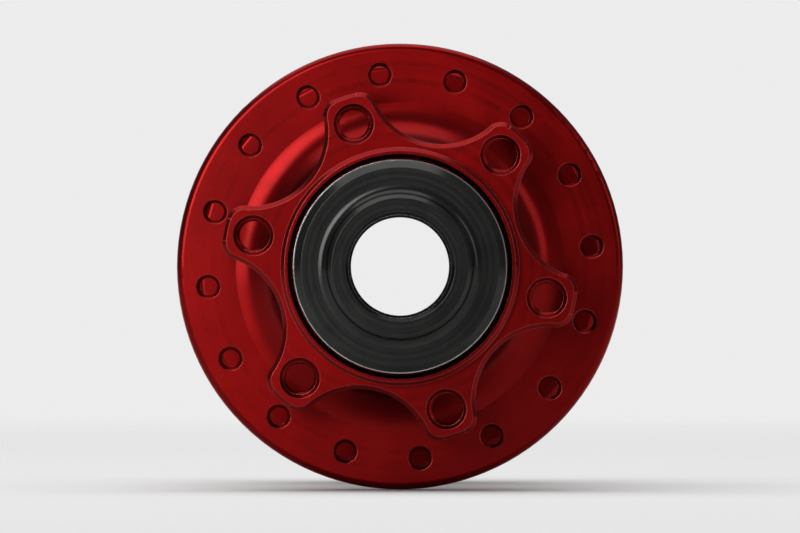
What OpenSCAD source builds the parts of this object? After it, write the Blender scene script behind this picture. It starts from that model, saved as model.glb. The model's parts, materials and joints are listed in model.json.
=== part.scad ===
// Front disc-brake bicycle hub: shell, axle, two sealed ball bearings and push-on end caps.
// The hub axis is Y. The rotor side faces -Y, and the origin is the middle of the axle.

/* [Fork fit] */
// Width over the two end faces
hub_w = 110; // [100:2:120]
// Bore of the end caps, for a 15 mm through axle
thru_d = 15.1; // [15.05:0.05:15.3]
// Diameter of the end-cap noses that sit in the fork ends
nose_d = 21; // [20:0.1:21.5]

/* [Flanges] */
// Spoke-hole circle of the rotor-side flange
rotor_side_pcd = 57; // [56:0.5:58]
// Spoke-hole circle of the plain flange
plain_side_pcd = 52; // [50:0.5:54]
// How far the rotor-side flange reaches past its spoke-hole circle
rotor_side_lip = 4.5; // [3.5:0.1:5]
// How far the plain flange reaches past its spoke-hole circle
plain_side_lip = 5; // [4:0.1:5.5]
// Spoke holes in each flange
spokes_per_flange = 16; // [14:1:18]
// Spoke-hole diameter
spoke_hole_d = 2.6; // [2.4:0.1:2.8]
// Flange thickness at the spoke holes
flange_t = 3.2; // [3:0.1:3.6]

/* [Rotor mount] */
// Bolt circle of the rotor
rotor_pcd = 44; // [43.8:0.1:44.2]
// Major diameter of the rotor bolt threads
rotor_bolt_d = 5; // [4.2:0.1:5]
// Diameter of the spigot that centres the rotor
spigot_d = 34.95; // [34.9:0.01:35]
// Diameter over the tips of the bolt lobes
lobe_tip_d = 52.6; // [51.5:0.1:53]
// Radius of the star at the bottom of the scallops between the lobes
scallop_in_r = 18.6; // [18.4:0.1:19]

/* [Barrel] */
// Diameter of the barrel between the flanges
barrel_d = 29; // [28:0.5:32]

/* [Bearings] */
// Balls in each bearing
ball_count = 12; // [10:1:13]
// Ball diameter
ball_d = 3.5; // [3.3:0.1:3.5]

/* [Hidden] */
$fn = 96;

// Standard 20 x 32 x 7 mm bearing
bearing_id = 20;
bearing_od = 32;
bearing_w = 7;

// Every z below is measured along the axis, with the rotor side positive
end_z = hub_w / 2;
rotor_z = end_z - 10.5;       // rotor face, the standard distance inside the fork end
mount_t = 8.5;                // thickness of the bolt lobes
head_gap = 8;                 // groove that the spoke heads pass through
flange_face_r = 24.3;         // where the flat face of the rotor-side flange begins
rotor_flange_z = rotor_z - mount_t - head_gap;   // outside face of the rotor-side flange
plain_flange_z = -(end_z - 14.9);                // outside face of the other flange
bearing_out_z = end_z - 9.5;  // outside face of each bearing
bearing_mid_z = bearing_out_z - bearing_w / 2;
bearing_in_z = bearing_out_z - bearing_w;
spigot_h = 2;
boss_z = -(bearing_out_z + 0.5);                 // end of the shell away from the rotor

edge = 0.5;                   // usual chamfer on turned edges
over = 1;                     // how far a cutting shape runs past the surface it cuts
flange_r = rotor_side_pcd / 2 + rotor_side_lip;
plain_flange_r = plain_side_pcd / 2 + plain_side_lip;
spoke_seat = 2;               // flat ring between a spoke-hole circle and the sweep down to the barrel
barrel_r = barrel_d / 2;
lobe_r = lobe_tip_d / 2;
lobe_corner_r = 2.5;
spigot_r = spigot_d / 2;
boss_r = 19;
boss_sweep_r = 4;
scallop_edge = 0.6;
scallop_low_z = rotor_flange_z + head_gap - 3;   // scallops are cut from below the back of the mount
flange_edge_r = 1;
lobe_turn = 48;               // clock position of the first bolt lobe
hole_turn = 6;                // clock position of the first rotor-side spoke hole
hole_pitch = 360 / spokes_per_flange;

// Each scallop is an arc that would run smoothly into a round of lobe_r - rotor_pcd / 2 at each bolt hole.
bolt_r = rotor_pcd / 2;
scallop_reach = scallop_in_r - (lobe_r - bolt_r);
scallop_pcr = (bolt_r * bolt_r - scallop_reach * scallop_reach) / (2 * (bolt_r * cos(30) - scallop_reach));
scallop_r = scallop_pcr - scallop_in_r;

// Bore of the shell, from the bearing seats down to the middle
seat_r = bearing_od / 2;
stop_r = 14.4;
stop_len = 3;
stop_taper_len = 4;
core_r = 12;

// Axle
axle_r = bearing_id / 2;
axle_bore_r = 8.5;
axle_stop_r = 11.2;
axle_stop_len = 6;
axle_taper_len = 2;
axle_waist_r = 10.4;
axle_end_z = bearing_out_z + 3.5;

// End caps
cap_r = 15.5;
cap_gap = 0.5;                // keeps the cap's rim off the turning seal and outer ring
cap_shoulder_z = end_z - 5;
cap_socket_r = axle_r + 0.02;
cap_groove_w = 2;
cap_groove_z = (bearing_out_z + axle_end_z) / 2;
o_ring_r = 0.75;

// Bearing internals
pitch_r = (bearing_od + bearing_id) / 4;
ball_r = ball_d / 2;
race_play = 0.01;             // gap between a ball and the bottom of its raceway
race_r = ball_r + 0.05;
land_r = 1.1;                 // half the gap between the two rings
seal_depth = 1.1;
seal_seat_r = 14.6;
seal_play = 0.05;             // running gap at the seal lip
cage_t = 1.7;
cage_back = 2.2;
cage_open = 0.9;
pocket_r = ball_r + 0.1;
ring_edge = 0.3;

SIDES = ["left", "right"];

function ball_name(side, i) = str(side, "_ball_", i < 10 ? "0" : "", i);

// Turns the modelling axis Z onto the hub axis, with the rotor side at -Y.
module on_hub_axis() {
    rotate([90, 0, 0]) children();
}

// Puts a part drawn for the rotor side, left, or its mirror image on the right.
module at_side(side) {
    on_hub_axis() mirror([0, 0, side == "left" ? 0 : 1]) children();
}

// Repeats a child around the axis.
module around(count, start = 0) {
    for (i = [0 : count - 1]) rotate(start + i * 360 / count) children();
}

// What to cut from the 2D corner at [r, z] to round it. out is +1 or -1: which way z leaves the part.
module rounding(r, z, out, radius) {
    translate([r - radius, z - out * radius]) mirror([0, out > 0 ? 0 : 1]) difference() {
        square(radius + over);
        circle(radius);
    }
}

// ---- Hub shell ----

// Outline of the spoke-head groove behind the rotor mount: a wide sweep off the flange, a tight one to the mount.
module head_groove_2d() {
    neck_r = scallop_in_r - 0.3;
    low_sweep_r = flange_face_r - neck_r;
    top_sweep_r = head_gap - low_sweep_r;
    seam_z = rotor_flange_z + low_sweep_r;
    translate([neck_r + top_sweep_r, seam_z]) circle(top_sweep_r);
    translate([neck_r + top_sweep_r, seam_z]) square([flange_r, top_sweep_r]);
    intersection() {
        translate([flange_face_r, seam_z]) circle(low_sweep_r);
        translate([0, rotor_flange_z]) square([flange_r, low_sweep_r]);
    }
    translate([flange_face_r, rotor_flange_z]) square([flange_r, low_sweep_r]);
}

// Outline of the space between the flanges: the barrel, swept up to the flat inside face of each flange.
module waist_2d() {
    top_z = rotor_flange_z - flange_t;
    low_z = plain_flange_z + flange_t;
    top_sweep_r = rotor_side_pcd / 2 - spoke_seat - barrel_r;
    low_sweep_r = plain_side_pcd / 2 - spoke_seat - barrel_r;
    translate([barrel_r, low_z + low_sweep_r])
        square([flange_r, top_z - top_sweep_r - low_z - low_sweep_r]);
    translate([barrel_r + low_sweep_r, low_z]) square([flange_r, low_sweep_r + over]);
    translate([barrel_r + top_sweep_r, top_z - top_sweep_r - over]) square([flange_r, top_sweep_r + over]);
    translate([barrel_r + low_sweep_r, low_z + low_sweep_r]) circle(low_sweep_r);
    translate([barrel_r + top_sweep_r, top_z - top_sweep_r]) circle(top_sweep_r);
}

// Outline cut away outside the plain flange, leaving the bearing boss.
module boss_relief_2d() {
    sweep_c = boss_r + boss_sweep_r;
    translate([sweep_c, boss_z - over]) square([flange_r, plain_flange_z - boss_z + over]);
    translate([boss_r, boss_z - over]) square([flange_r, plain_flange_z - boss_sweep_r - boss_z + over]);
    translate([sweep_c, plain_flange_z - boss_sweep_r]) circle(boss_sweep_r);
}

module shell_outline_2d() {
    difference() {
        polygon([
            [core_r, rotor_z + spigot_h],
            [spigot_r - edge, rotor_z + spigot_h],
            [spigot_r, rotor_z + spigot_h - edge],
            [spigot_r, rotor_z],
            [lobe_r - edge, rotor_z],
            [lobe_r, rotor_z - edge],
            [lobe_r, rotor_flange_z + head_gap + edge],
            [lobe_r - edge, rotor_flange_z + head_gap],
            [lobe_r - edge, rotor_flange_z],
            [flange_r, rotor_flange_z],
            [flange_r, 0],
            [plain_flange_r, 0],
            [plain_flange_r, boss_z],
            [core_r, boss_z]
        ]);
        head_groove_2d();
        waist_2d();
        boss_relief_2d();
        rounding(flange_r, rotor_flange_z, 1, flange_edge_r);
        rounding(flange_r, rotor_flange_z - flange_t, -1, flange_edge_r);
        rounding(plain_flange_r, plain_flange_z + flange_t, 1, flange_edge_r);
        rounding(plain_flange_r, plain_flange_z, -1, flange_edge_r);
    }
}

// Everything bored out of the shell along the axis: two bearing seats, their stops and the core.
module shell_bore() {
    rotate_extrude() polygon([
        [0, rotor_z + spigot_h + over],
        [seat_r + edge + over, rotor_z + spigot_h + over],
        [seat_r, rotor_z + spigot_h - edge],
        [seat_r, bearing_in_z],
        [stop_r, bearing_in_z],
        [stop_r, bearing_in_z - stop_len],
        [core_r, bearing_in_z - stop_len - stop_taper_len],
        [core_r, stop_len + stop_taper_len - bearing_in_z],
        [stop_r, stop_len - bearing_in_z],
        [stop_r, -bearing_in_z],
        [seat_r, -bearing_in_z],
        [seat_r, boss_z + edge],
        [seat_r + edge + over, boss_z - over],
        [0, boss_z - over]
    ]);
}

// A drilled hole from z down through t, with a chamfer at each mouth.
module chamfered_hole(d, z, t, chamfer) {
    mouth_r = d / 2 + chamfer + over;
    translate([0, 0, z - t - over]) cylinder(h = t + 2 * over, d = d);
    translate([0, 0, z - chamfer]) cylinder(h = chamfer + over, r1 = d / 2, r2 = mouth_r);
    translate([0, 0, z - t - over]) cylinder(h = chamfer + over, r1 = mouth_r, r2 = d / 2);
}

// A round post up to the rotor face, whose rim steps out by rim (in, if negative).
module edged_post(r, rim) {
    rotate_extrude() polygon([
        [0, scallop_low_z],
        [r, scallop_low_z],
        [r, rotor_z - scallop_edge],
        [r + rim, rotor_z],
        [0, rotor_z]
    ]);
}

// One scallop between two bolt lobes.
module scallop() {
    translate([scallop_pcr, 0, 0]) edged_post(scallop_r, scallop_edge);
}

// Rounds the lobe corner that one scallop leaves: a block with a round post left standing in it.
module lobe_corner() {
    post_r = lobe_corner_r;
    post_pcr = lobe_r - post_r;
    reach = scallop_r + post_r;
    turn = acos((post_pcr * post_pcr + scallop_pcr * scallop_pcr - reach * reach) / (2 * post_pcr * scallop_pcr));
    out = [cos(turn), sin(turn)];
    post = post_pcr * out;
    across = [scallop_pcr - post.x, -post.y] / reach;
    block = post_r + 1.5 * over;
    post_overlap = 0.02;
    difference() {
        translate([0, 0, scallop_low_z]) linear_extrude(rotor_z - scallop_low_z)
            polygon([post, post + block * out, post + block * (out + across), post + block * across]);
        translate([post.x, post.y, 0]) edged_post(post_r + post_overlap, -scallop_edge);
    }
}

module hub_shell() {
    color("firebrick") difference() {
        rotate_extrude() shell_outline_2d();
        shell_bore();
        around(6, lobe_turn + 30) {
            scallop();
            lobe_corner();
            mirror([0, 1, 0]) lobe_corner();
        }
        around(6, lobe_turn) translate([rotor_pcd / 2, 0, 0])
            chamfered_hole(rotor_bolt_d, rotor_z, mount_t, edge);
        around(spokes_per_flange, hole_turn) translate([rotor_side_pcd / 2, 0, 0])
            chamfered_hole(spoke_hole_d, rotor_flange_z, flange_t, edge);
        around(spokes_per_flange, hole_turn + hole_pitch / 2) translate([plain_side_pcd / 2, 0, 0])
            chamfered_hole(spoke_hole_d, plain_flange_z + flange_t, flange_t, edge);
    }
}

// ---- Axle and end caps ----

module axle() {
    color("silver") rotate_extrude() polygon([
        [axle_bore_r, axle_end_z - edge],
        [axle_bore_r + edge, axle_end_z],
        [axle_r - edge, axle_end_z],
        [axle_r, axle_end_z - edge],
        [axle_r, bearing_in_z],
        [axle_stop_r, bearing_in_z],
        [axle_stop_r, bearing_in_z - axle_stop_len],
        [axle_waist_r, bearing_in_z - axle_stop_len - axle_taper_len],
        [axle_waist_r, axle_stop_len + axle_taper_len - bearing_in_z],
        [axle_stop_r, axle_stop_len - bearing_in_z],
        [axle_stop_r, -bearing_in_z],
        [axle_r, -bearing_in_z],
        [axle_r, edge - axle_end_z],
        [axle_r - edge, -axle_end_z],
        [axle_bore_r + edge, -axle_end_z],
        [axle_bore_r, edge - axle_end_z]
    ]);
}

// Push-on cap: a socket over the axle, a rim that shields the bearing and a nose for the fork.
module end_cap() {
    rim_z = bearing_out_z + cap_gap;
    hub_r = axle_stop_r + 0.3;
    rim_edge = 1;
    nose_r = nose_d / 2;
    nose_sweep = 1.5;
    groove_r = axle_r + 2 * o_ring_r + 0.05;
    color("dimgray") rotate_extrude() difference() {
        polygon([
            [thru_d / 2, bearing_out_z],
            [hub_r, bearing_out_z],
            [hub_r, rim_z],
            [cap_r - edge, rim_z],
            [cap_r, rim_z + edge],
            [cap_r, cap_shoulder_z - rim_edge],
            [cap_r - rim_edge, cap_shoulder_z],
            [nose_r + nose_sweep, cap_shoulder_z],
            [nose_r + nose_sweep, cap_shoulder_z + nose_sweep],
            [nose_r, cap_shoulder_z + nose_sweep],
            [nose_r, end_z - edge],
            [nose_r - edge, end_z],
            [thru_d / 2 + edge, end_z],
            [thru_d / 2, end_z - edge]
        ]);
        translate([nose_r + nose_sweep, cap_shoulder_z + nose_sweep]) circle(nose_sweep);
        translate([0, bearing_out_z - over]) square([cap_socket_r, axle_end_z - bearing_out_z + over]);
        translate([0, cap_groove_z - cap_groove_w / 2]) square([groove_r, cap_groove_w]);
    }
}

module cap_o_ring() {
    color("black") rotate_extrude()
        translate([cap_socket_r + o_ring_r, cap_groove_z]) circle(o_ring_r);
}

// ---- Bearings, drawn about the rotor-side bearing's own place ----

module at_bearing() {
    translate([0, 0, bearing_mid_z]) children();
}

module bearing_outer_ring() {
    half_w = bearing_w / 2;
    color("gainsboro") at_bearing() rotate_extrude() difference() {
        polygon([
            [pitch_r + land_r, -half_w],
            [seat_r - ring_edge, -half_w],
            [seat_r, ring_edge - half_w],
            [seat_r, half_w - ring_edge],
            [seat_r - ring_edge, half_w],
            [pitch_r + land_r, half_w]
        ]);
        translate([pitch_r + ball_r + race_play - race_r, 0]) circle(race_r);
        for (z = [-half_w - over, half_w - seal_depth])
            translate([pitch_r, z]) square([seal_seat_r - pitch_r, seal_depth + over]);
    }
}

module bearing_inner_ring() {
    half_w = bearing_w / 2;
    color("gainsboro") at_bearing() rotate_extrude() difference() {
        polygon([
            [axle_r + ring_edge, -half_w],
            [pitch_r - land_r, -half_w],
            [pitch_r - land_r, half_w],
            [axle_r + ring_edge, half_w],
            [axle_r, half_w - ring_edge],
            [axle_r, ring_edge - half_w]
        ]);
        translate([pitch_r - ball_r - race_play + race_r, 0]) circle(race_r);
    }
}

module bearing_ball(i) {
    color("silver") at_bearing() rotate((i - 1) * 360 / ball_count)
        translate([pitch_r, 0, 0]) sphere(ball_r);
}

// Crown cage: a ring whose pockets open on the outboard side.
module bearing_cage() {
    color("saddlebrown") at_bearing() difference() {
        rotate_extrude() translate([pitch_r - cage_t / 2, -cage_back])
            square([cage_t, cage_back + cage_open]);
        around(ball_count) translate([pitch_r, 0, 0]) sphere(pocket_r);
    }
}

// A seal pressed into the outer ring, with its lip just clear of the inner ring.
module bearing_seal(inboard) {
    half_w = bearing_w / 2;
    lip_r = pitch_r - land_r + seal_play;
    back_z = half_w - seal_depth;
    face_z = half_w - 0.3;
    bead_z = half_w - 0.1;
    bead_w = 0.9;
    bead_edge = bead_z - face_z;
    color("black") at_bearing() mirror([0, 0, inboard ? 1 : 0]) rotate_extrude() polygon([
        [lip_r, back_z + 0.2],
        [lip_r + 0.5, back_z],
        [seal_seat_r, back_z],
        [seal_seat_r, face_z],
        [seal_seat_r - bead_edge, bead_z],
        [seal_seat_r - bead_w + bead_edge, bead_z],
        [seal_seat_r - bead_w, face_z],
        [lip_r + 0.6, face_z],
        [lip_r + 0.3, face_z + 0.15],
        [lip_r, face_z]
    ]);
}

on_hub_axis() hub_shell();
on_hub_axis() axle();
for (side = SIDES) {
    at_side(side) end_cap();
    at_side(side) cap_o_ring();
    at_side(side) bearing_outer_ring();
    at_side(side) bearing_inner_ring();
    at_side(side) bearing_cage();
    at_side(side) bearing_seal(false);
    at_side(side) bearing_seal(true);
    for (i = [1 : ball_count])
        at_side(side) bearing_ball(i);
}
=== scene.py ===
"""Looks for the front disc-brake hub: anodised alloy, bearing steel, rubber and nylon.

The threads in the rotor holes are added here. The light is a soft studio's, and the camera looks along the
axle from the rotor side.
"""

import json
import math

import bmesh
import bpy
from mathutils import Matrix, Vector


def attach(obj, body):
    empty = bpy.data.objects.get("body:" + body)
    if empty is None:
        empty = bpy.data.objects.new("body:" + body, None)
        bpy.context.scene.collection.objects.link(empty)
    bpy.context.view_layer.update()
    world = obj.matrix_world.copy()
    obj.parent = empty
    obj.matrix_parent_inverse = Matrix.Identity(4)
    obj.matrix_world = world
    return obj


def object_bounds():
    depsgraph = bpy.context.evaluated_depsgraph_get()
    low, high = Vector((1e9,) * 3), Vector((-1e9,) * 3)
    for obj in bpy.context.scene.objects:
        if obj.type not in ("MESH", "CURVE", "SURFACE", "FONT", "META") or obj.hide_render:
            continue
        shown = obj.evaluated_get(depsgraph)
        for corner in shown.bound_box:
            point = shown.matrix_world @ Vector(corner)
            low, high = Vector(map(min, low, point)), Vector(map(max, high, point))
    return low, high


MM = 0.001

# Rotor bolt holes, as the CAD has them, in millimetres and degrees.
ROTOR_FACE_Y = -44.5
ROTOR_HOLE_DEPTH = 8.5
ROTOR_HOLE_R = 2.5
ROTOR_BOLT_CIRCLE_R = 22
FIRST_LOBE_TURN = 48
LOBES = 6

# M5 x 0.8 thread, in millimetres. Each end stops short of the hole's end and fades out over half a turn.
THREAD_PITCH = 0.8
THREAD_MINOR_R = 2.1
THREAD_ROOT_W = 0.74
THREAD_CREST_W = 0.12
THREAD_END_GAP = 0.45
THREAD_SUNK = 0.03
STEPS_PER_TURN = 40
FADE_STEPS = 20
FADED_DEPTH = 0.02
THREAD_SHARP_ANGLE = 35

# Where a rounded edge is tinted lighter, as wear, and on the red alloy also as a painted highlight: the
# cosine between the flat and the rounded normal.
EDGE_STARTS = 0.995
EDGE_IS_FULL = 0.90
EDGE_SAMPLES = 6

# Studio, in metres and linear light. The room's brightness runs from dim to bright with the height looked at.
CAMERA_DISTANCE = 2.0
CAMERA_LENS = 600
FLOOR_R = 0.9
FLOOR_FADE_START = 0.4
FLOOR_FADE_END = 0.98 * FLOOR_R
PALE = 0.84
ROOM_LOW = -0.6
ROOM_HIGH = 0.9
ROOM_DIM = 0.06
ROOM_BRIGHT = 0.36

# Sockets that Blender's colour mix node repeats under the same names.
MIX_COLOR_A = 6
MIX_COLOR_B = 7
MIX_COLOR_RESULT = 2


class Graph:
    """Builds one material's node tree. Every method returns the output socket to plug in next."""

    def __init__(self, name):
        self.material = bpy.data.materials.new(name)
        self.material.use_nodes = True
        self.tree = self.material.node_tree
        self.shader = self.tree.nodes["Principled BSDF"]
        self.column = 0

    def node(self, kind, inputs=None, **settings):
        """Adds a node, sets its properties and fills its inputs with numbers or links."""
        node = self.tree.nodes.new(kind)
        self.column += 1
        node.location = (-220 * self.column, -160 * (self.column % 4))
        for key, value in settings.items():
            setattr(node, key, value)
        for key, value in (inputs or {}).items():
            self.plug(node.inputs[key], value)
        return node

    def plug(self, socket, value):
        """Links a socket to another, or sets its number."""
        if isinstance(value, bpy.types.NodeSocket):
            self.tree.links.new(value, socket)
        else:
            socket.default_value = value

    def math(self, operation, a, b=0.0):
        """A scalar sum, product or square root."""
        return self.node("ShaderNodeMath", {0: a, 1: b}, operation=operation).outputs[0]

    def vector(self, x, y, z):
        """A vector from three numbers or links."""
        return self.node("ShaderNodeCombineXYZ", {"X": x, "Y": y, "Z": z}).outputs[0]

    def noise(self, vector, scale, detail=2.0, roughness=0.5):
        """Noise between 0 and 1."""
        inputs = {"Vector": vector, "Scale": scale, "Detail": detail, "Roughness": roughness}
        return self.node("ShaderNodeTexNoise", inputs).outputs["Fac"]

    def between(self, value, low, high, to_low=0.0, to_high=1.0):
        """Maps low..high to to_low..to_high, held at both ends."""
        inputs = {"Value": value, "From Min": low, "From Max": high, "To Min": to_low, "To Max": to_high}
        return self.node("ShaderNodeMapRange", inputs).outputs["Result"]

    def blend(self, factor, a, b):
        """A colour that runs from a to b."""
        node = self.node("ShaderNodeMix", data_type="RGBA")
        self.plug(node.inputs["Factor"], factor)
        self.plug(node.inputs[MIX_COLOR_A], a)
        self.plug(node.inputs[MIX_COLOR_B], b)
        return node.outputs[MIX_COLOR_RESULT]

    def bump(self, height, depth_mm, normal=None):
        """A bump whose full height is depth_mm."""
        inputs = {"Height": height, "Strength": 1.0, "Distance": depth_mm * MM}
        if normal is not None:
            inputs["Normal"] = normal
        return self.node("ShaderNodeBump", inputs).outputs["Normal"]

    def distance(self, a, b):
        """The length of a step of a one way and b across it."""
        squares = self.math("ADD", self.math("MULTIPLY", a, a), self.math("MULTIPLY", b, b))
        return self.math("SQRT", squares)

    def coordinates(self):
        """The place on the part, and on its turned profile: the distance from the hub's axis, and Y."""
        place = self.node("ShaderNodeTexCoord").outputs["Object"]
        parts = self.node("ShaderNodeSeparateXYZ", {0: place}).outputs
        return place, self.vector(self.distance(parts["X"], parts["Z"]), parts["Y"], 0.0)

    def rounded_edge(self, radius_mm):
        """Normals that run round every sharp edge, and a mask that is 1 on those edges."""
        radius = {"Radius": radius_mm * MM}
        soft = self.node("ShaderNodeBevel", radius, samples=EDGE_SAMPLES).outputs["Normal"]
        hard = self.node("ShaderNodeNewGeometry").outputs["Normal"]
        both = {0: soft, 1: hard}
        along = self.node("ShaderNodeVectorMath", both, operation="DOT_PRODUCT").outputs["Value"]
        return soft, self.between(along, EDGE_STARTS, EDGE_IS_FULL)

    def finish(self, color, roughness, normal, **sockets):
        """Plugs the finished colour, roughness and normal into the shader."""
        self.plug(self.shader.inputs["Base Color"], color)
        self.plug(self.shader.inputs["Roughness"], roughness)
        self.plug(self.shader.inputs["Normal"], normal)
        for key, value in sockets.items():
            self.shader.inputs[key.replace("_", " ")].default_value = value
        return self.material


def turned_rings(graph, profile, period_mm):
    """Height of the grooves that a lathe leaves: the same all the way round, different along the profile."""
    return graph.noise(profile, 1 / (period_mm * MM), detail=1.0)


def turn_about_axle(graph):
    """Runs the stretched highlights round the axle, as grooves do."""
    tangent = graph.node("ShaderNodeTangent", direction_type="RADIAL", axis="Y").outputs["Tangent"]
    graph.plug(graph.shader.inputs["Tangent"], tangent)


# ---- Materials ----


def red_anodised():
    """Bright-dipped alloy, dyed deep red, with turned rings, faint handling marks and edges painted lighter
    and pinker, partly as rub wear and partly as a painted highlight.
    """
    g = Graph("red_anodised")
    place, profile = g.coordinates()
    soft, edge = g.rounded_edge(0.15)
    coarse = turned_rings(g, profile, 0.9)
    fine = turned_rings(g, profile, 0.28)
    cloud = g.noise(place, 90, detail=3)
    deep_dye = (0.145, 0.0016, 0.0018, 1)
    light_dye = (0.185, 0.0025, 0.0028, 1)
    worn_and_highlight_dye = (0.55, 0.13, 0.12, 1)
    dye = g.blend(g.between(cloud, 0.3, 0.7), deep_dye, light_dye)
    # Painted highlight: every rounded edge is tinted lighter and pinker, partly as rub wear and partly as a
    # painted highlight.
    dye = g.blend(g.math("MULTIPLY", edge, 0.5), dye, worn_and_highlight_dye)
    smudge = g.noise(place, 260, detail=5, roughness=0.65)
    turned_rough = g.between(coarse, 0.3, 0.7, 0.24, 0.34)
    rough = g.math("ADD", turned_rough, g.between(smudge, 0.45, 0.75, 0.0, 0.08))
    normal = g.bump(fine, 0.0015, soft)
    normal = g.bump(coarse, 0.006, normal)
    turn_about_axle(g)
    coat = {"Coat_Weight": 0.08, "Coat_Roughness": 0.20, "Coat_IOR": 1.5}
    return g.finish(dye, rough, normal, Metallic=1.0, Anisotropic=0.25, **coat)


def black_anodised():
    """Satin black alloy caps with turned rings and edges rubbed a little grey."""
    g = Graph("black_anodised")
    place, profile = g.coordinates()
    soft, edge = g.rounded_edge(0.12)
    coarse = turned_rings(g, profile, 0.5)
    fine = turned_rings(g, profile, 0.2)
    cloud = g.noise(place, 240, detail=3)
    deep_black = (0.012, 0.013, 0.012, 1)
    light_black = (0.020, 0.021, 0.019, 1)
    worn_black = (0.14, 0.14, 0.135, 1)
    black = g.blend(g.between(cloud, 0.3, 0.7), deep_black, light_black)
    black = g.blend(g.math("MULTIPLY", edge, 0.35), black, worn_black)
    rough = g.between(coarse, 0.3, 0.7, 0.20, 0.30)
    normal = g.bump(coarse, 0.004, g.bump(fine, 0.0022, soft))
    turn_about_axle(g)
    coat = {"Coat_Weight": 0.25, "Coat_Roughness": 0.16, "Coat_IOR": 1.5}
    return g.finish(black, rough, normal, Metallic=0.9, Anisotropic=0.25, **coat)


def axle_alloy():
    """Clear-anodised axle tube with plain turning marks."""
    g = Graph("axle_alloy")
    place, profile = g.coordinates()
    soft, edge = g.rounded_edge(0.12)
    coarse = turned_rings(g, profile, 0.45)
    cloud = g.noise(place, 150, detail=4)
    grey_alloy = (0.58, 0.585, 0.60, 1)
    bright_alloy = (0.70, 0.70, 0.71, 1)
    worn_alloy = (0.85, 0.85, 0.85, 1)
    alloy = g.blend(g.between(cloud, 0.3, 0.7), grey_alloy, bright_alloy)
    alloy = g.blend(g.math("MULTIPLY", edge, 0.4), alloy, worn_alloy)
    rough = g.between(coarse, 0.3, 0.7, 0.24, 0.36)
    turn_about_axle(g)
    return g.finish(alloy, rough, g.bump(coarse, 0.003, soft), Metallic=1.0, Anisotropic=0.5)


def bearing_steel():
    """Ground and honed rings and polished balls, with a thin uneven film of oil."""
    g = Graph("bearing_steel")
    place, profile = g.coordinates()
    soft, _ = g.rounded_edge(0.08)
    rings = turned_rings(g, profile, 0.18)
    film = g.noise(place, 420, detail=4)
    bare_steel = (0.56, 0.555, 0.55, 1)
    oiled_steel = (0.47, 0.455, 0.43, 1)
    steel = g.blend(g.between(film, 0.35, 0.7), bare_steel, oiled_steel)
    rough = g.between(film, 0.35, 0.7, 0.10, 0.24)
    normal = g.bump(rings, 0.0008, soft)
    oil = {"Coat_Weight": 0.25, "Coat_Roughness": 0.08, "Coat_IOR": 1.47}
    return g.finish(steel, rough, normal, Metallic=1.0, **oil)


def nitrile_rubber():
    """Moulded black rubber: matt, faintly mottled, with a fine bloom."""
    g = Graph("nitrile_rubber")
    place, _ = g.coordinates()
    soft, edge = g.rounded_edge(0.08)
    mottle = g.noise(place, 500, detail=4)
    grain = g.noise(place, 5200, detail=2)
    deep_black = (0.014, 0.014, 0.015, 1)
    bloomed_black = (0.030, 0.030, 0.031, 1)
    worn_black = (0.06, 0.06, 0.06, 1)
    black = g.blend(g.between(mottle, 0.3, 0.75), deep_black, bloomed_black)
    black = g.blend(g.math("MULTIPLY", edge, 0.3), black, worn_black)
    rough = g.between(grain, 0.3, 0.7, 0.50, 0.66)
    return g.finish(black, rough, g.bump(grain, 0.006, soft), Sheen_Weight=0.08)


def cage_nylon():
    """Glass-filled nylon ball cage, cream and slightly translucent, with fibre flecks."""
    g = Graph("cage_nylon")
    place, _ = g.coordinates()
    soft, _ = g.rounded_edge(0.08)
    flecks = g.noise(place, 2600, detail=3, roughness=0.7)
    resin = (0.58, 0.49, 0.31, 1)
    fibre = (0.74, 0.67, 0.50, 1)
    cream = g.blend(g.between(flecks, 0.45, 0.7), resin, fibre)
    rough = g.between(flecks, 0.3, 0.7, 0.42, 0.56)
    return g.finish(cream, rough, g.bump(flecks, 0.004, soft), Subsurface_Weight=0.15, Subsurface_Scale=0.001)


def floor_paper():
    """Pale studio paper that fades out into the background."""
    g = Graph("floor_paper")
    place, _ = g.coordinates()
    parts = g.node("ShaderNodeSeparateXYZ", {0: place}).outputs
    reach = g.distance(parts["X"], parts["Y"])
    grain = g.noise(place, 900, detail=2)
    paper = g.blend(g.between(grain, 0.3, 0.7), (0.80, 0.80, 0.80, 1), (PALE, PALE, PALE, 1))
    g.plug(g.shader.inputs["Alpha"], g.between(reach, FLOOR_FADE_START, FLOOR_FADE_END, 1.0, 0.0))
    g.shader.inputs["Specular IOR Level"].default_value = 0.1
    return g.finish(paper, 0.9, g.bump(grain, 0.02))


# ---- Pieces ----


def thread_section():
    """The ridge's outline: each corner's depth, 0 at the wall and 1 at the crest, and its rise along Y."""
    half_root = THREAD_ROOT_W / 2
    half_crest = THREAD_CREST_W / 2
    return [(0.0, -half_root), (1.0, -half_crest), (1.0, half_crest), (0.0, half_root)]


def join_loops(mesh, loops):
    """Skins a row of equal loops and closes both ends."""
    corners_each = len(loops[0])
    for here, there in zip(loops, loops[1:]):
        for i in range(corners_each):
            j = (i + 1) % corners_each
            mesh.faces.new((here[i], here[j], there[j], there[i]))
    mesh.faces.new(loops[0])
    mesh.faces.new(reversed(loops[-1]))


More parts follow.
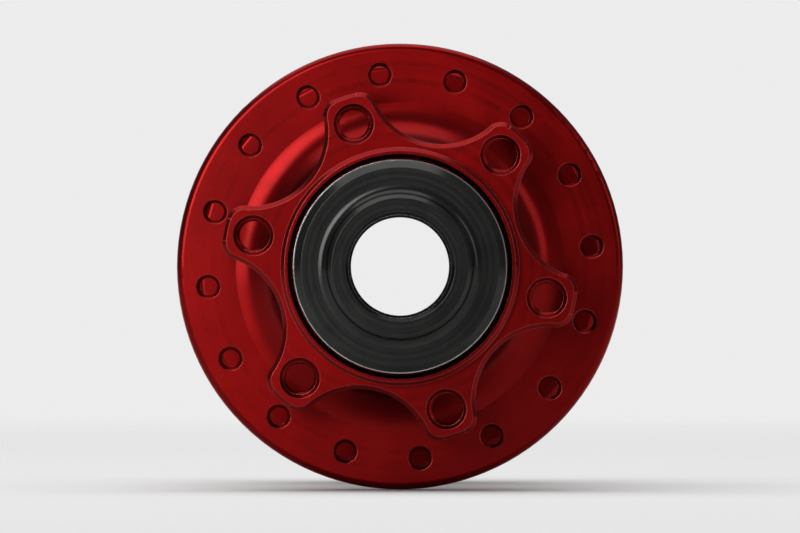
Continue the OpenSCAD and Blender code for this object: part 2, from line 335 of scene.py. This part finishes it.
def thread_ridge(mesh, centre, low, high):
    """Adds one hole's helical ridge to mesh. centre is (x, z); low and high are along Y. Millimetres."""
    wall_r = ROTOR_HOLE_R + THREAD_SUNK
    section = thread_section()
    turns = (high - low - THREAD_ROOT_W) / THREAD_PITCH
    steps = round(turns * STEPS_PER_TURN)
    loops = []
    for step in range(steps + 1):
        turn = 2 * math.pi * step / STEPS_PER_TURN
        y = low + THREAD_ROOT_W / 2 + THREAD_PITCH * step / STEPS_PER_TURN
        fade = max(FADED_DEPTH, min(1.0, step / FADE_STEPS, (steps - step) / FADE_STEPS))
        loop = []
        for depth, rise in section:
            r = wall_r - depth * fade * (wall_r - THREAD_MINOR_R)
            place = Vector((centre[0] + r * math.sin(turn), y + rise, centre[1] + r * math.cos(turn)))
            loop.append(mesh.verts.new(place * MM))
        loops.append(loop)
    join_loops(mesh, loops)


def rotor_bolt_threads(material):
    """The thread ridges in all six rotor holes."""
    low = ROTOR_FACE_Y + THREAD_END_GAP
    high = ROTOR_FACE_Y + ROTOR_HOLE_DEPTH - THREAD_END_GAP
    mesh = bmesh.new()
    for i in range(LOBES):
        turn = math.radians(FIRST_LOBE_TURN + i * 360 / LOBES)
        centre = (ROTOR_BOLT_CIRCLE_R * math.cos(turn), ROTOR_BOLT_CIRCLE_R * math.sin(turn))
        thread_ridge(mesh, centre, low, high)
    bmesh.ops.recalc_face_normals(mesh, faces=mesh.faces)
    made = add_object("rotor_bolt_threads", mesh, material)
    made.data.set_sharp_from_angle(angle=math.radians(THREAD_SHARP_ANGLE))
    return made


def add_object(name, mesh, material):
    """Turns a bmesh into an object of one smooth-shaded material."""
    data = bpy.data.meshes.new(name)
    mesh.to_mesh(data)
    mesh.free()
    data.polygons.foreach_set("use_smooth", [True] * len(data.polygons))
    data.materials.append(material)
    made = bpy.data.objects.new(name, data)
    bpy.context.scene.collection.objects.link(made)
    return made


def paint(node, material):
    """Gives a CAD node its finish."""
    slots = node.data.materials
    for i in range(len(slots)):
        slots[i] = material
    if not slots:
        slots.append(material)


# ---- Studio ----


def add_floor(height, material):
    """A round pale floor under the part."""
    mesh = bmesh.new()
    bmesh.ops.create_circle(mesh, cap_ends=True, radius=FLOOR_R, segments=96)
    made = add_object("studio_floor", mesh, material)
    made.location.z = height
    return made


def add_softbox(name, lit, place, target, size, watts):
    """A rectangular light aimed at target. It lights only what is in lit, and the camera doesn't see it."""
    data = bpy.data.lights.new(name, "AREA")
    data.shape = "RECTANGLE"
    data.size, data.size_y = size
    data.energy = watts
    light = bpy.data.objects.new(name, data)
    light.location = place
    light.rotation_euler = (Vector(target) - Vector(place)).to_track_quat("-Z", "Y").to_euler()
    light.visible_camera = False
    bpy.context.scene.collection.objects.link(light)
    receivers = bpy.data.collections.new(name + "_lights")
    for piece in lit:
        receivers.objects.link(piece)
    light.light_linking.receiver_collection = receivers


def add_world():
    """A pale background for the camera, and a dimmer room with a bright ceiling for the reflections."""
    world = bpy.data.worlds.new("studio")
    bpy.context.scene.world = world
    world.use_nodes = True
    nodes = world.node_tree.nodes
    links = world.node_tree.links
    nodes.clear()
    direction = nodes.new("ShaderNodeTexCoord")
    split = nodes.new("ShaderNodeSeparateXYZ")
    ramp = nodes.new("ShaderNodeMapRange")
    ramp.inputs["From Min"].default_value = ROOM_LOW
    ramp.inputs["From Max"].default_value = ROOM_HIGH
    ramp.inputs["To Min"].default_value = ROOM_DIM
    ramp.inputs["To Max"].default_value = ROOM_BRIGHT
    room = nodes.new("ShaderNodeBackground")
    room.inputs["Color"].default_value = (1, 1, 1, 1)
    backdrop = nodes.new("ShaderNodeBackground")
    backdrop.inputs["Color"].default_value = (PALE, PALE, PALE, 1)
    seen = nodes.new("ShaderNodeLightPath")
    mix = nodes.new("ShaderNodeMixShader")
    output = nodes.new("ShaderNodeOutputWorld")
    links.new(direction.outputs["Generated"], split.inputs[0])
    links.new(split.outputs["Z"], ramp.inputs["Value"])
    links.new(ramp.outputs["Result"], room.inputs["Strength"])
    links.new(seen.outputs["Is Camera Ray"], mix.inputs["Fac"])
    links.new(room.outputs[0], mix.inputs[1])
    links.new(backdrop.outputs[0], mix.inputs[2])
    links.new(mix.outputs[0], output.inputs["Surface"])


def add_lights(pieces, ground):
    """A near key from the upper left in front, a wide top light and weak fills, and a wash for the floor."""
    middle = (0, 0, 0)
    rotor_side = (0, -0.04, 0)
    add_softbox("key", pieces, place=(-0.125, -0.33, 0.08), target=rotor_side, size=(0.17, 0.17), watts=0.62)
    add_softbox("top", pieces, place=(-0.1, 0.0, 0.75), target=middle, size=(0.9, 0.9), watts=4.6)
    add_softbox("right_fill", pieces, place=(0.8, -0.5, 0.3), target=middle, size=(0.3, 0.6), watts=1.0)
    add_softbox("back_fill", pieces, place=(-0.3, 0.9, 0.4), target=middle, size=(0.8, 0.6), watts=2.5)
    add_softbox("floor_wash", [ground], place=(-0.2, 0.0, 1.2), target=middle, size=(2.4, 2.4), watts=24.0)


def add_camera():
    """Looks along the axle from the rotor side, far off with a long lens, so there is little perspective."""
    data = bpy.data.cameras.new("camera")
    data.lens = CAMERA_LENS
    data.clip_end = 50
    camera = bpy.data.objects.new("camera", data)
    camera.location = (0, -CAMERA_DISTANCE, 0)
    camera.rotation_euler = (math.radians(90), 0, 0)
    bpy.context.scene.collection.objects.link(camera)
    bpy.context.scene.camera = camera


def corners(bounds):
    """A box as plain lists of numbers."""
    return [list(corner) for corner in bounds]


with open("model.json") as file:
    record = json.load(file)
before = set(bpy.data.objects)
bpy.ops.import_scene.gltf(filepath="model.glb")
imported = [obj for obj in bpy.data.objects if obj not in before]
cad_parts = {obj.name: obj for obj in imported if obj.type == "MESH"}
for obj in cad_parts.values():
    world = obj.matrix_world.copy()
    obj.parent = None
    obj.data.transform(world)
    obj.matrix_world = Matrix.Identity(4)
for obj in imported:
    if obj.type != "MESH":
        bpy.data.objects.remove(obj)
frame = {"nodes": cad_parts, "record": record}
cad_box = corners(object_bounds())
bpy.context.scene.view_settings.view_transform = "Standard"

finishes = {
    "red_anodised": red_anodised(),
    "black_anodised": black_anodised(),
    "axle_alloy": axle_alloy(),
    "bearing_steel": bearing_steel(),
    "nitrile_rubber": nitrile_rubber(),
    "cage_nylon": cage_nylon(),
}
for part in frame["record"]["subparts"]:
    paint(frame["nodes"][part["node"]], finishes[part["material_slot"]])

threads = rotor_bolt_threads(finishes["red_anodised"])
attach(threads, "shell")

floor = add_floor(cad_box[0][2], floor_paper())
add_world()
add_lights([*frame["nodes"].values(), threads], floor)
add_camera()
